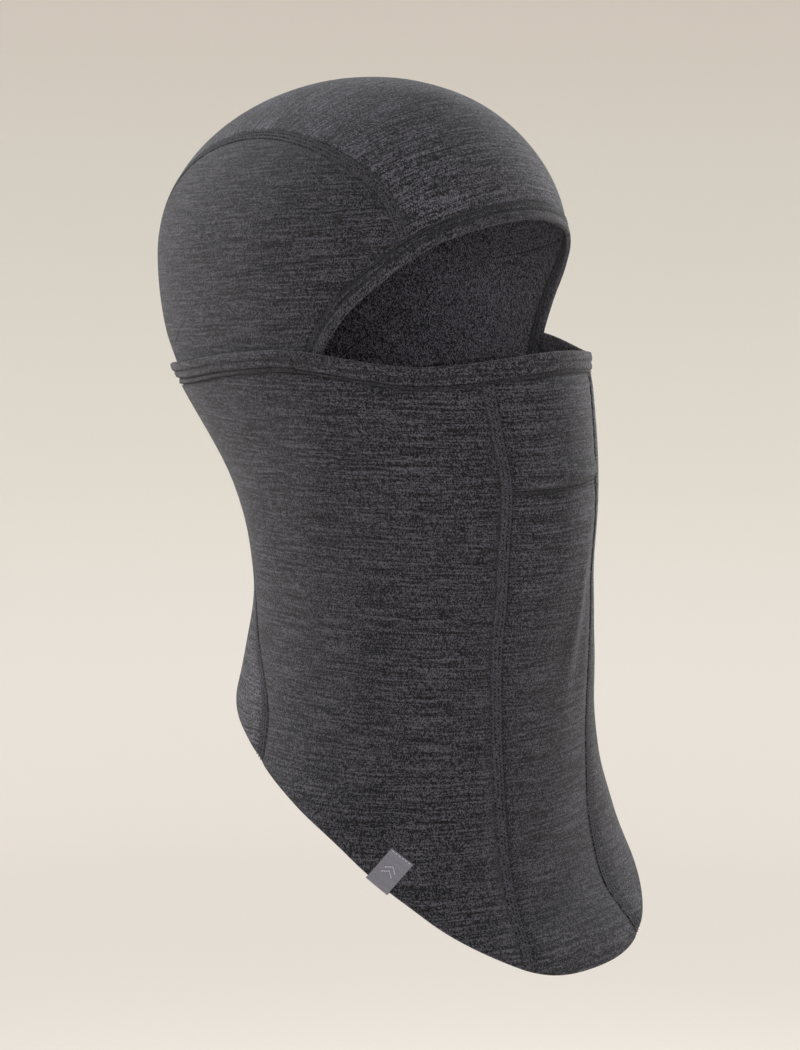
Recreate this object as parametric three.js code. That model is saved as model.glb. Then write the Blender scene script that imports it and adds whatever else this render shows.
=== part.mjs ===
// Hinged knit balaclava: a three-panel hood whose lower edge is sewn inside a neck gaiter,
// with the front of the gaiter free at its top hem so that it can be pulled down off the face.
// Millimetres, +Z up, the wearer faces -Y, +X is the wearer's left.
// The origin is the middle of the head at its widest level.
import * as THREE from "three";

// ---- the worn shape: level, foremost, widest, hindmost and half width of the space inside ----
// The power sets how square the front half of a section is (2 is an ellipse, less is more pointed).
const BODY = [
  { level: 0, front: -97, middle: 3.4, back: 96, half: 77, power: 2.1 },
  { level: 45, front: -109.5, middle: -6.1, back: 87, half: 76, power: 1.95 },
  { level: 95, front: -116.3, middle: -29.1, back: 46, half: 72, power: 1.82 },
  { level: 135, front: -114.5, middle: -35.6, back: 33.2, half: 68.6, power: 1.8 },
  { level: 170, front: -110.3, middle: -33.8, back: 36.6, half: 68.9, power: 2.06 },
  { level: 210, front: -109, middle: -29.9, back: 48.3, half: 73.7, power: 2.12 },
  { level: 245, front: -110.4, middle: -25.7, back: 54.7, half: 87.6, power: 2.23 },
  { level: 270, front: -117.2, middle: -31.5, back: 59, half: 92, power: 2.42 },
  { level: 290, front: -130.8, middle: -35.4, back: 62.2, half: 88, power: 2.77 },
  { level: 315, front: -134.3, middle: -32, back: 66, half: 95, power: 3.2 },
];
const DOME_HEIGHT = 75;
const DOME_LEAN = -9;
const REAR_POWER = 2.1;

// ---- layers, measured outwards from the worn shape ----
const GAP = 0.3;
const HOOD_LAYER = [0, 1.1];
const FLATLOCK_ON_HOOD = [0, 1.4];
const BINDING_LAYER = [0, 1.9];
const BINDING_STITCH_LAYER = [2.2, 2.7];
const GAITER_LAYER = [2.3, 3.4];
const FLATLOCK_ON_GAITER = [2.3, 3.7];
const HEM_LAYER = [2.3, 4.5];
const HEM_STITCH_LAYER = [4.8, 5.3];

// ---- seams, hems and binding ----
const FLATLOCK_WIDTH = 4;
const MOUTH_SEAM_WIDTH = 2;
const MOUTH_SEAM_LEVEL = 93;
const BINDING_WIDTH = 8;
const STITCH_WIDTH = 0.9;
const BINDING_STITCH_AT = [0.8, 3];
const HEM_WIDTH = 9;
const HEM_STITCH_AT = [4.2, 7.6];
const HEM_END_ANGLE = 68;
const TUCK_DEPTH = 12;

// Level of the gaiter's top edge by angle from the front. The row past 180 keeps it level there.
const HEM_TOP = [
  [0, 37.5],
  [34, 41.5],
  [68, 36],
  [95, 39],
  [125, 45],
  [180, 50],
  [235, 45],
];
// Angle of the front and back seams by level.
const FRONT_SEAM = [
  [46, 18.5],
  [72, 18.9],
  [90, 19],
  [110, 20.7],
  [135, 21.8],
  [160, 23],
  [190, 22.1],
  [214, 20.8],
  [240, 19.6],
  [262, 19.8],
  [280, 20.5],
  [300, 21.9],
];
const BACK_SEAM = [
  [50, 140],
  [110, 136],
  [150, 126],
  [188, 108],
  [215, 103],
];
// Level of the bottom edge by angle from the front: short at the nape, long on the chest.
// The row past 180 keeps the edge level at the nape.
const BOTTOM = [
  [0, 296],
  [14, 294],
  [26, 287],
  [38, 276],
  [50, 259.5],
  [64, 241],
  [80, 228],
  [98, 216.5],
  [120, 202.5],
  [180, 172],
  [240, 202.5],
];

// Left half of the brow edge (outer side of the binding), from the forehead to the temple.
const BROW = [
  [0, -95, 25],
  [26, -90, 21.5],
  [43, -82, 15.5],
  [54, -73, 7.5],
  [62, -62, -3],
  [68.5, -51, -14.5],
  [73, -41, -30],
  [74, -36, -42],
  [73.5, -34, -49],
];
const BROW_SEAM_POINT = [52, -75, 9.5];
// Left-hand seam of the crown strip, from the brow over the head to the nape.
const CROWN_SEAM = [
  BROW_SEAM_POINT,
  [53.5, -66, 27],
  [56, -50, 39],
  [57.5, -22, 49],
  [57, 3, 52],
  [55.5, 35, 46.5],
  [52, 61, 32],
  [47.5, 77, 0],
  [43.5, 75, -32],
  [40.8, 67.5, -62],
];

// ---- hem label ----
const LABEL_ANGLE = -54;
const LABEL_WIDTH = 11;
const LABEL_LENGTH = 15;
const LABEL_THICKNESS = 0.7;
const LABEL_STITCH_INSET = 2;

const SHEET_CELL = 13;
const OUTLINE_CELL = 8;
const STRIP_CELL = 8;
const HOOD_PANEL_RINGS = 7;

const rad = THREE.MathUtils.degToRad;
const lerp = THREE.MathUtils.lerp;
const clamp = THREE.MathUtils.clamp;

// Smooth curve through a table of [x, y] rows, level at its first row.
function through(table, x) {
  const last = table.length - 1;
  const slope = (i) => {
    if (i === 0) return 0;
    const a = table[i - 1];
    const b = table[Math.min(i + 1, last)];
    return (b[1] - a[1]) / (b[0] - a[0]);
  };
  const at = clamp(x, table[0][0], table[last][0]);
  let k = 0;
  while (k < last - 1 && at > table[k + 1][0]) k += 1;
  const [x0, y0] = table[k];
  const [x1, y1] = table[k + 1];
  const h = x1 - x0;
  const u = (at - x0) / h;
  const rise = u * u * (3 - 2 * u);
  return (
    y0 * (1 - rise) + y1 * rise + h * u * (1 - u) * ((1 - u) * slope(k) - u * slope(k + 1))
  );
}

const tableOf = (key) => BODY.map((row) => [row.level, row[key]]);
const FRONTS = tableOf("front");
const MIDDLES = tableOf("middle");
const BACKS = tableOf("back");
const HALVES = tableOf("half");
const POWERS = tableOf("power");

// The section of the worn shape at a height: its centre line, three reaches and front power.
function sectionAt(z) {
  const level = Math.max(-z, 0);
  const middle = through(MIDDLES, level);
  return {
    middle,
    forward: middle - through(FRONTS, level),
    rearward: through(BACKS, level) - middle,
    half: through(HALVES, level),
    power: through(POWERS, level),
  };
}

// 1 on the worn shape, less inside it, more outside it.
function fullness(p) {
  const s = sectionAt(p.z);
  const up = Math.max(p.z, 0) / DOME_HEIGHT;
  const y = p.y - s.middle - DOME_LEAN * up * up;
  const depth = y < 0 ? s.forward : s.rearward;
  const power = y < 0 ? s.power : REAR_POWER;
  const across = Math.abs(p.x / s.half) ** power;
  const along = Math.abs(y / depth) ** power;
  return Math.hypot((across + along) ** (1 / power), up);
}

// Moves a point out or in from the middle of the garment until it is on the worn shape.
function onBody(point) {
  const p = point.clone();
  for (let i = 0; i < 5; i += 1) {
    const core = new THREE.Vector3(0, sectionAt(p.z).middle, Math.min(p.z, 0));
    p.sub(core).divideScalar(fullness(p)).add(core);
  }
  return p;
}

function normalAt(p) {
  const step = 0.05;
  const gradient = ["x", "y", "z"].map((axis) => {
    const a = p.clone();
    const b = p.clone();
    a[axis] += step;
    b[axis] -= step;
    return fullness(a) - fullness(b);
  });
  return new THREE.Vector3(...gradient).normalize();
}

// The point of the worn shape at an angle from the front (positive to +X) and a height.
function around(angle, z) {
  const a = rad(angle);
  const middle = sectionAt(z).middle;
  return onBody(new THREE.Vector3(50 * Math.sin(a), middle - 50 * Math.cos(a), z));
}

// The angle reached by walking a distance round the garment.
function walk(angle, z, distance) {
  const step = 0.5;
  const perDegree = around(angle - step, z).distanceTo(around(angle + step, z)) / (2 * step);
  return angle + distance / perDegree;
}

const folded = (angle) => Math.abs(((((angle + 180) % 360) + 360) % 360) - 180);
const hemTop = (angle) => -through(HEM_TOP, folded(angle));
const hemFoot = (angle) => hemTop(angle) - HEM_WIDTH;
const panelTop = (angle) => hemFoot(angle) - GAP;
const bottom = (angle) => -through(BOTTOM, folded(angle));

// ---- solids ----

function pushQuad(faces, a, b, c, d) {
  faces.push(a, b, c, a, c, d);
}

function geometryOf(points, faces) {
  const geometry = new THREE.BufferGeometry();
  const flat = points.flatMap((p) => [p.x, p.y, p.z]);
  geometry.setAttribute("position", new THREE.Float32BufferAttribute(flat, 3));
  geometry.setIndex(faces);
  geometry.computeVertexNormals();
  return geometry;
}

// Thickens a surface mesh into one closed layer: its faces look outwards, rim is its outline in order.
function layerOf(points, faces, rim, [inner, outer]) {
  const normals = points.map(normalAt);
  const at = (height) => points.map((p, i) => p.clone().addScaledVector(normals[i], height));
  const all = [...at(outer), ...at(inner)];
  const count = points.length;
  const closed = [...faces];
  for (let i = 0; i < faces.length; i += 3) {
    closed.push(count + faces[i], count + faces[i + 2], count + faces[i + 1]);
  }
  rim.forEach((a, i) => {
    const b = rim[(i + 1) % rim.length];
    pushQuad(closed, b, a, a + count, b + count);
  });
  return geometryOf(all, closed);
}

// A layer over a grid of points of the worn shape: rows run one way, columns to the row's left.
function gridLayer(rows, layer) {
  const height = rows.length;
  const width = rows[0].length;
  const index = (i, j) => i * width + j;
  const faces = [];
  for (let i = 0; i + 1 < height; i += 1) {
    for (let j = 0; j + 1 < width; j += 1) {
      pushQuad(faces, index(i, j), index(i, j + 1), index(i + 1, j + 1), index(i + 1, j));
    }
  }
  const rim = [];
  for (let j = 0; j + 1 < width; j += 1) rim.push(index(0, j));
  for (let i = 0; i + 1 < height; i += 1) rim.push(index(i, width - 1));
  for (let j = width - 1; j > 0; j -= 1) rim.push(index(height - 1, j));
  for (let i = height - 1; i > 0; i -= 1) rim.push(index(i, 0));
  return layerOf(rows.flat(), faces, rim, layer);
}

const cells = (length, size) => Math.max(1, Math.ceil(length / size));

// A piece of the gaiter between two angles (as functions of height) and two heights (of angle).
function wrap({ from, to, low, high, layer, cell = SHEET_CELL }) {
  const pointAt = (u, v) => {
    let z = -120;
    let angle = 0;
    for (let i = 0; i < 10; i += 1) {
      angle = lerp(from(z), to(z), u);
      z = lerp(low(angle), high(angle), v);
    }
    return around(angle, z);
  };
  let widest = 0;
  let tallest = 0;
  for (const share of [0, 0.25, 0.5, 0.75, 1]) {
    for (let i = 0; i < 8; i += 1) {
      const a = i / 8;
      const b = (i + 1) / 8;
      widest = Math.max(widest, 8 * pointAt(a, share).distanceTo(pointAt(b, share)));
      tallest = Math.max(tallest, 8 * pointAt(share, a).distanceTo(pointAt(share, b)));
    }
  }
  const columns = cells(widest, cell);
  const levels = cells(tallest, cell);
  const rows = [];
  for (let i = 0; i <= levels; i += 1) {
    rows.push(Array.from({ length: columns + 1 }, (_, j) => pointAt(j / columns, i / levels)));
  }
  return gridLayer(rows, layer);
}

// A smooth path on the worn shape through a list of [x, y, z] points.
function pathOf(points) {
  const line = points.map((p) => onBody(new THREE.Vector3(...p)));
  const curve = new THREE.CatmullRomCurve3(line, false, "centripetal");
  return {
    length: curve.getLength(),
    at: (t) => onBody(curve.getPointAt(clamp(t, 0, 1))),
  };
}

// The path's own frame at t: point, outward normal and the direction to its left.
function frameOf(path, t) {
  const step = 1e-3;
  const along = path.at(t + step).sub(path.at(t - step));
  const point = path.at(t);
  const normal = normalAt(point);
  return { point, left: normal.clone().cross(along).normalize() };
}

// A strip along part of a path, reaching from one distance to another on the path's left.
function strip(path, { start = 0, end = 1, from, to, layer, cell = STRIP_CELL }) {
  const steps = cells((end - start) * path.length, cell);
  const across = cells(to - from, cell);
  const rows = [];
  for (let j = 0; j <= across; j += 1) {
    const reach = lerp(from, to, j / across);
    const row = [];
    for (let i = 0; i <= steps; i += 1) {
      const { point, left } = frameOf(path, lerp(start, end, i / steps));
      row.push(onBody(point.addScaledVector(left, reach)));
    }
    rows.push(row);
  }
  return gridLayer(rows, layer);
}

// Points of a path from one share to another, without the last one.
function sample(path, from, to, cell) {
  const steps = cells(Math.abs(to - from) * path.length, cell);
  return Array.from({ length: steps }, (_, i) => path.at(lerp(from, to, i / steps)));
}

// Moves each side of an anticlockwise outline inwards by its own distance.
function insetSides(sides) {
  const outline = sides.flatMap(({ points, inset }) => points.map((point) => ({ point, inset })));
  const count = outline.length;
  const moved = outline.map(({ point, inset }, i) => {
    const before = outline[(i + count - 1) % count];
    const after = outline[(i + 1) % count];
    const normal = normalAt(point);
    const inOf = (a, b) => normal.clone().cross(b.clone().sub(a)).normalize();
    const first = inOf(before.point, point);
    const second = inOf(point, after.point);
    const turn = first.dot(second);
    const spread = Math.max(1 - turn * turn, 0);
    if (spread < 0.05) return onBody(point.clone().addScaledVector(second, inset));
    const a = (before.inset - inset * turn) / spread;
    const b = (inset - before.inset * turn) / spread;
    return onBody(point.clone().addScaledVector(first, a).addScaledVector(second, b));
  });
  let begin = 0;
  return sides.map(({ points }) => {
    const part = moved.slice(begin, begin + points.length);
    begin += points.length;
    return part;
  });
}

// A layer filling an outline by rings that shrink towards a middle point.
function fanLayer(outline, middle, rings, layer) {
  const count = outline.length;
  const points = [];
  for (let k = rings; k > 0; k -= 1) {
    outline.forEach((p) => points.push(onBody(middle.clone().lerp(p, k / rings))));
  }
  points.push(onBody(middle));
  const faces = [];
  for (let k = 0; k + 1 < rings; k += 1) {
    for (let i = 0; i < count; i += 1) {
      const j = (i + 1) % count;
      pushQuad(faces, k * count + i, k * count + j, (k + 1) * count + j, (k + 1) * count + i);
    }
  }
  const innermost = (rings - 1) * count;
  for (let i = 0; i < count; i += 1) {
    faces.push(innermost + i, innermost + ((i + 1) % count), rings * count);
  }
  const rim = Array.from({ length: count }, (_, i) => i);
  return layerOf(points, faces, rim, layer);
}

// ---- paths of the hood ----

const mirrored = ([x, y, z]) => [-x, y, z];
const browPath = pathOf([...BROW.slice(1).reverse(), ...[BROW[0]], ...BROW.slice(1).map(mirrored)]);
const crownPath = { left: pathOf(CROWN_SEAM), right: pathOf(CROWN_SEAM.map(mirrored)) };

// Share of a path at which it comes nearest to a point.
function nearestShare(path, point) {
  const target = new THREE.Vector3(...point);
  const steps = 2000;
  let best = 0;
  for (let i = 1; i <= steps; i += 1) {
    const t = i / steps;
    if (path.at(t).distanceTo(target) < path.at(best).distanceTo(target)) best = t;
  }
  return best;
}

// Share of a path at which it drops below the gaiter's top edge by a distance.
function shareBelowHem(path, depth, from, to) {
  let dry = from;
  let sunk = to;
  for (let i = 0; i < 40; i += 1) {
    const t = (dry + sunk) / 2;
    const p = path.at(t);
    const angle = THREE.MathUtils.radToDeg(Math.atan2(p.x, sectionAt(p.z).middle - p.y));
    if (p.z < hemTop(angle) - depth) sunk = t;
    else dry = t;
  }
  return (dry + sunk) / 2;
}

const angleOf = (p) =>
  THREE.MathUtils.radToDeg(Math.atan2(p.x, sectionAt(p.z).middle - p.y));

// Points of the hood's tucked edge between two angles, without the last one.
function tuckedEdge(from, to) {
  const steps = cells(Math.abs(to - from) * 1.5, SHEET_CELL);
  return Array.from({ length: steps }, (_, i) => {
    const angle = lerp(from, to, i / steps);
    return around(angle, hemTop(angle) - TUCK_DEPTH);
  });
}

// ---- hood ----

const browSeamShare = nearestShare(browPath, BROW_SEAM_POINT);
const browTuckShare = shareBelowHem(browPath, TUCK_DEPTH, 0.5, 0);
const crownTuckShare = shareBelowHem(crownPath.left, TUCK_DEPTH, 0.6, 1);
const seamClearance = FLATLOCK_WIDTH / 2 + GAP;

function crownPanel() {
  const { left, right } = crownPath;
  const napeAngle = angleOf(left.at(crownTuckShare));
  const brow = sample(browPath, 1 - browSeamShare, browSeamShare, OUTLINE_CELL);
  const nape = Array.from({ length: brow.length }, (_, i) => {
    const angle = lerp(napeAngle, 360 - napeAngle, i / brow.length);
    return around(angle, hemTop(angle) - TUCK_DEPTH);
  });
  const [a, b, c, d] = insetSides([
    { points: brow, inset: GAP },
    { points: sample(left, 0, crownTuckShare, OUTLINE_CELL), inset: seamClearance },
    { points: nape, inset: 0 },
    { points: sample(right, crownTuckShare, 0, OUTLINE_CELL), inset: seamClearance },
  ]);
  const front = [...a, b[0]];
  const leftSide = [...b, c[0]];
  const rear = [...c, d[0]].reverse();
  const rightSide = [...d, a[0]].reverse();
  const rows = rightSide.map((start, i) => {
    const v = i / (rightSide.length - 1);
    return front.map((p, j) => {
      const u = j / (front.length - 1);
      const ruled = p.clone().lerp(rear[j], v).add(start.clone().lerp(leftSide[i], u));
      const corners = front[0].clone().lerp(front.at(-1), u);
      return onBody(ruled.sub(corners.lerp(rear[0].clone().lerp(rear.at(-1), u), v)));
    });
  });
  return gridLayer(rows, HOOD_LAYER);
}

// A side panel of the hood; the left one is drawn and the right one mirrors its outline.
function hoodPanel(side) {
  const seam = crownPath.left;
  const seamAngle = angleOf(seam.at(crownTuckShare));
  const browAngle = angleOf(browPath.at(browTuckShare));
  const sides = insetSides([
    { points: sample(browPath, browTuckShare, browSeamShare, OUTLINE_CELL), inset: -GAP },
    { points: sample(seam, 0, crownTuckShare, OUTLINE_CELL), inset: -seamClearance },
    { points: tuckedEdge(seamAngle, browAngle), inset: 0 },
  ]);
  const clockwise = sides.flat();
  const flipped = clockwise.map((p) => new THREE.Vector3(-p.x, p.y, p.z));
  const outline = side === "left" ? clockwise.reverse() : flipped;
  const middle = new THREE.Vector3(side === "left" ? 70 : -70, 8, -8);
  return fanLayer(outline, middle, HOOD_PANEL_RINGS, HOOD_LAYER);
}

function crownSeam(side) {
  const path = crownPath[side];
  const half = FLATLOCK_WIDTH / 2;
  const start = (half + GAP) / path.length;
  const reach = { start, end: crownTuckShare, from: -half, to: half };
  return strip(path, { ...reach, layer: FLATLOCK_ON_HOOD });
}

function browBinding() {
  const reach = { start: browTuckShare, end: 1 - browTuckShare, from: 0, to: BINDING_WIDTH };
  return strip(browPath, { ...reach, layer: BINDING_LAYER });
}

function browStitches(at) {
  const start = shareBelowHem(browPath, -2, 0.5, 0);
  const reach = { start, end: 1 - start, from: at, to: at + STITCH_WIDTH };
  return strip(browPath, { ...reach, layer: BINDING_STITCH_LAYER });
}

// ---- gaiter ----

const frontSeamAngle = (z) => through(FRONT_SEAM, -z);
const backSeamAngle = (z) => through(BACK_SEAM, -z);
const fixed = (angle) => () => angle;

// Edges of the pieces on either side of a seam line, each a distance away from it.
const beside = (line, distance) => (z) => walk(line(z), z, distance);
const onRight = (line) => (z) => -line(z);
const pastBack = (line) => (z) => 360 - line(z);

function frontPanel(low, high) {
  const from = beside(onRight(frontSeamAngle), seamClearance);
  const to = beside(frontSeamAngle, -seamClearance);
  return wrap({ from, to, low, high, layer: GAITER_LAYER });
}

const mouthPanel = () =>
  frontPanel(() => -MOUTH_SEAM_LEVEL + MOUTH_SEAM_WIDTH / 2 + GAP, panelTop);
const chestPanel = () => frontPanel(bottom, () => -MOUTH_SEAM_LEVEL - MOUTH_SEAM_WIDTH / 2 - GAP);

function neckPanel(side) {
  const left = side === "left";
  const from = left ? frontSeamAngle : onRight(backSeamAngle);
  const to = left ? backSeamAngle : onRight(frontSeamAngle);
  return wrap({
    from: beside(from, seamClearance),
    to: beside(to, -seamClearance),
    low: bottom,
    high: panelTop,
    layer: GAITER_LAYER,
  });
}

function napePanel() {
  const from = beside(backSeamAngle, seamClearance);
  const to = beside(pastBack(backSeamAngle), -seamClearance);
  return wrap({ from, to, low: bottom, high: panelTop, layer: GAITER_LAYER });
}

function gaiterSeam(line) {
  const half = FLATLOCK_WIDTH / 2;
  const reach = { from: beside(line, -half), to: beside(line, half), low: bottom, high: panelTop };
  return wrap({ ...reach, layer: FLATLOCK_ON_GAITER, cell: STRIP_CELL });
}

function mouthSeam() {
  const from = beside(onRight(frontSeamAngle), seamClearance);
  const to = beside(frontSeamAngle, -seamClearance);
  const low = () => -MOUTH_SEAM_LEVEL - MOUTH_SEAM_WIDTH / 2;
  const high = () => -MOUTH_SEAM_LEVEL + MOUTH_SEAM_WIDTH / 2;
  return wrap({ from, to, low, high, layer: FLATLOCK_ON_GAITER, cell: STRIP_CELL });
}

const HEM_SPANS = {
  mask: [-HEM_END_ANGLE, HEM_END_ANGLE],
  nape: [HEM_END_ANGLE, 360 - HEM_END_ANGLE],
};

function hemPiece(span, from, to, layer) {
  const [begin, end] = HEM_SPANS[span];
  return wrap({
    from: (z) => walk(begin, z, GAP),
    to: (z) => walk(end, z, -GAP),
    low: (angle) => hemTop(angle) - to,
    high: (angle) => hemTop(angle) - from,
    layer,
    cell: STRIP_CELL,
  });
}

const hem = (span) => hemPiece(span, 0, HEM_WIDTH, HEM_LAYER);
const hemStitches = (span, at) => hemPiece(span, at, at + STITCH_WIDTH, HEM_STITCH_LAYER);

// ---- label folded round the bottom edge ----

// A point beside the label's middle: along the edge, up from the edge and out from the worn shape.
function labelPoint(along, up, out) {
  const foot = around(LABEL_ANGLE, bottom(LABEL_ANGLE));
  const next = around(LABEL_ANGLE + 1, bottom(LABEL_ANGLE + 1));
  const edge = next.clone().sub(foot).normalize();
  const rise = normalAt(foot).cross(edge).normalize();
  const point = onBody(foot.addScaledVector(edge, along).addScaledVector(rise, up));
  return point.clone().addScaledVector(normalAt(point), out);
}

// Joins a row of equal closed sections and caps both ends.
function loft(sections, profile) {
  const size = profile.length;
  const faces = [];
  for (let k = 0; k + 1 < sections.length; k += 1) {
    for (let i = 0; i < size; i += 1) {
      const j = (i + 1) % size;
      pushQuad(faces, k * size + i, k * size + j, (k + 1) * size + j, (k + 1) * size + i);
    }
  }
  const last = (sections.length - 1) * size;
  for (const [a, b, c] of THREE.ShapeUtils.triangulateShape(profile, [])) {
    faces.push(a, c, b, last + a, last + b, last + c);
  }
  return geometryOf(sections.flat(), faces);
}

function hemLabel() {
  const [inner, outer] = GAITER_LAYER;
  const inside = inner - GAP;
  const outside = outer + GAP;
  const fold = -GAP;
  const t = LABEL_THICKNESS;
  const profile = [
    [LABEL_LENGTH, outside],
    [LABEL_LENGTH, outside + t],
    [fold, outside + t],
    [fold - t, outside],
    [fold - t, inside],
    [fold, inside - t],
    [LABEL_LENGTH, inside - t],
    [LABEL_LENGTH, inside],
    [fold, inside],
    [fold, outside],
  ].map(([up, out]) => new THREE.Vector2(up, out));
  const steps = 4;
  const sections = Array.from({ length: steps + 1 }, (_, k) => {
    const along = lerp(-LABEL_WIDTH / 2, LABEL_WIDTH / 2, k / steps);
    return profile.map((p) => labelPoint(along, p.x, p.y));
  });
  return loft(sections, profile);
}

function labelStitching() {
  const low = LABEL_LENGTH - LABEL_STITCH_INSET;
  const high = low + STITCH_WIDTH;
  const base = GAITER_LAYER[1] + GAP + LABEL_THICKNESS + GAP;
  const top = base + 0.5;
  const profile = [
    [high, base],
    [high, top],
    [low, top],
    [low, base],
  ].map(([up, out]) => new THREE.Vector2(up, out));
  const reach = LABEL_WIDTH / 2 - 1;
  const sections = [-1, 0, 1].map((k) => profile.map((p) => labelPoint(k * reach, p.x, p.y)));
  return loft(sections, profile);
}

// ---- assembly ----

const KNIT = { color: 0x3c3b3f, roughness: 0.95, metalness: 0 };
const CROWN_KNIT = { color: 0x444348, roughness: 0.95, metalness: 0 };
const THREAD = { color: 0x2c2b2f, roughness: 0.8, metalness: 0 };
const LABEL = { color: 0x6a6769, roughness: 0.7, metalness: 0 };
const LABEL_THREAD = { color: 0xc8c4c0, roughness: 0.8, metalness: 0 };

const balaclava = new THREE.Group();
balaclava.name = "balaclava";

function add(name, geometry, look) {
  const mesh = new THREE.Mesh(geometry, new THREE.MeshStandardMaterial(look));
  mesh.name = name;
  balaclava.add(mesh);
}

add("crown_panel", crownPanel(), CROWN_KNIT);
add("brow_binding", browBinding(), KNIT);
add("mouth_panel", mouthPanel(), KNIT);
add("chest_panel", chestPanel(), KNIT);
add("nape_panel", napePanel(), CROWN_KNIT);
add("mouth_seam", mouthSeam(), THREAD);
for (const side of ["left", "right"]) {
  const line = (angle) => (side === "left" ? angle : onRight(angle));
  add(`${side}_hood_panel`, hoodPanel(side), KNIT);
  add(`${side}_crown_seam`, crownSeam(side), THREAD);
  add(`${side}_neck_panel`, neckPanel(side), KNIT);
  add(`${side}_front_seam`, gaiterSeam(line(frontSeamAngle)), THREAD);
  add(`${side}_back_seam`, gaiterSeam(line(backSeamAngle)), THREAD);
}
for (const span of ["mask", "nape"]) {
  add(`${span}_hem`, hem(span), KNIT);
  HEM_STITCH_AT.forEach((at, i) => {
    add(`${span}_stitch_row_${i + 1}`, hemStitches(span, at), THREAD);
  });
}
BINDING_STITCH_AT.forEach((at, i) => add(`brow_stitch_row_${i + 1}`, browStitches(at), THREAD));
add("hem_label", hemLabel(), LABEL);
add("label_stitching", labelStitching(), LABEL_THREAD);

export default balaclava;
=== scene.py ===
"""Blender looks for the hinged knit balaclava: panels, hems, seams and label around the CAD frame.

Garment lengths are in millimetres and become metres when a mesh is made. +Z is up, the wearer
faces -Y and +X is the wearer's left, as in the frame.
"""

import math

import bpy
import numpy as np
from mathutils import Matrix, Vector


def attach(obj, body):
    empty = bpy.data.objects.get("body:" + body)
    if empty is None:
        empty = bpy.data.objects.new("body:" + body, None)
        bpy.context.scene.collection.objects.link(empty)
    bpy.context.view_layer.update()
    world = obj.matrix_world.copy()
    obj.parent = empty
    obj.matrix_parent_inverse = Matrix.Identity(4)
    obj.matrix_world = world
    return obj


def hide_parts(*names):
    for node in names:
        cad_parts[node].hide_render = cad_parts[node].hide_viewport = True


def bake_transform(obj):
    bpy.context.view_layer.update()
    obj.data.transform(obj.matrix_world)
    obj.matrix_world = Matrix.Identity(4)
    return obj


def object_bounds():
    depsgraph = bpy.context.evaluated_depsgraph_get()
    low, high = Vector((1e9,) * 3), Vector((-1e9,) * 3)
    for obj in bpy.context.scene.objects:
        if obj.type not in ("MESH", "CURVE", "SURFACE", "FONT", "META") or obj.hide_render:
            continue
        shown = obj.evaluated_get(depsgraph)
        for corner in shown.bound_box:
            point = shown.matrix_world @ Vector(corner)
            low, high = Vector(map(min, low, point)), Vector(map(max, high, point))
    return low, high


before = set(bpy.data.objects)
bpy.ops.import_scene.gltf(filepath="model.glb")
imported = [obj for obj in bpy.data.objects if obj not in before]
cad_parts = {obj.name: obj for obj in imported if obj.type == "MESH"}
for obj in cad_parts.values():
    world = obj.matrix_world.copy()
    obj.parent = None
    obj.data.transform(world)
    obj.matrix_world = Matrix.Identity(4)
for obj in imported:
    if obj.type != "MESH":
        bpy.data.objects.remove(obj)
cad_low, cad_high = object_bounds()

MM = 0.001
MIRROR = np.array([-1, 1, 1])
SIDES = {"left": 1, "right": -1}
ALL_SIDES = ("left", "right", "low", "high")
ALL_BUT_LOW = ("left", "right", "high")

# ---- the worn shape ----
# Sections: level, foremost, widest, hindmost, half width and front power. The power sets how
# square the front half is: 2 is an ellipse, less is more pointed.
BODY = np.array(
    [
        (0, -97, 3.4, 96, 77, 2.1),
        (45, -109.5, -6.1, 87, 76, 1.95),
        (95, -116.3, -29.1, 46, 72, 1.82),
        (135, -114.5, -35.6, 33.2, 68.6, 1.8),
        (170, -110.3, -33.8, 36.6, 68.9, 2.06),
        (210, -109, -29.9, 48.3, 73.7, 2.12),
        (245, -110.4, -25.7, 54.7, 87.6, 2.23),
        (270, -117.2, -31.5, 59, 92, 2.42),
        (290, -130.8, -35.4, 62.2, 88, 2.77),
        (315, -134.3, -32, 66, 95, 3.2),
    ]
)
REAR_POWER = 2.1
DOME_HEIGHT = 75
DOME_LEAN = -9

# ---- layers, outwards from the worn shape ----
HOOD_LAYER = (0.0, 1.1)
GAITER_LAYER = (2.3, 3.4)
HEM_LAYER = (2.3, 4.4)
BINDING_LAYER = (0.0, 1.9)

# ---- seams, hems and binding ----
SEAM_WIDTH = 4.6
SEAM_ROOM = 2.25
MOUTH_SEAM_LEVEL = 93
MOUTH_SEAM_ROOM = 0.7
# Painted shade on the mouth join's cloth, standing in for the shade in its crease.
MOUTH_SEAM_SHADE = 0.7
SEAM_LAP = 0.05
FLATLOCK_COLUMNS = (-1.62, 0.0, 1.62)
FLATLOCK_SWING = 0.52

# Heights at which a gaiter seam is sure to have met the hem, and to have passed the bottom edge;
# and how far its looper threads stop short of both.
SEAM_TOP = -46
SEAM_FOOT = -316
LOOPER_INSET = (0.2, 0.35)
BINDING_WIDTH = 8.0
BINDING_STITCH_AT = (1.25, 3.45)
HEM_WIDTH = 9.0
HEM_STITCH_AT = (4.6, 8.2)
NAPE_STITCH_AT = (4.0, 7.6)
HEM_STITCH_DROP = (0.55, 0.95)
HEM_END_ANGLE = 68
HEM_END_GAP = 0.03
TUCK_DEPTH = 12.0

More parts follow.
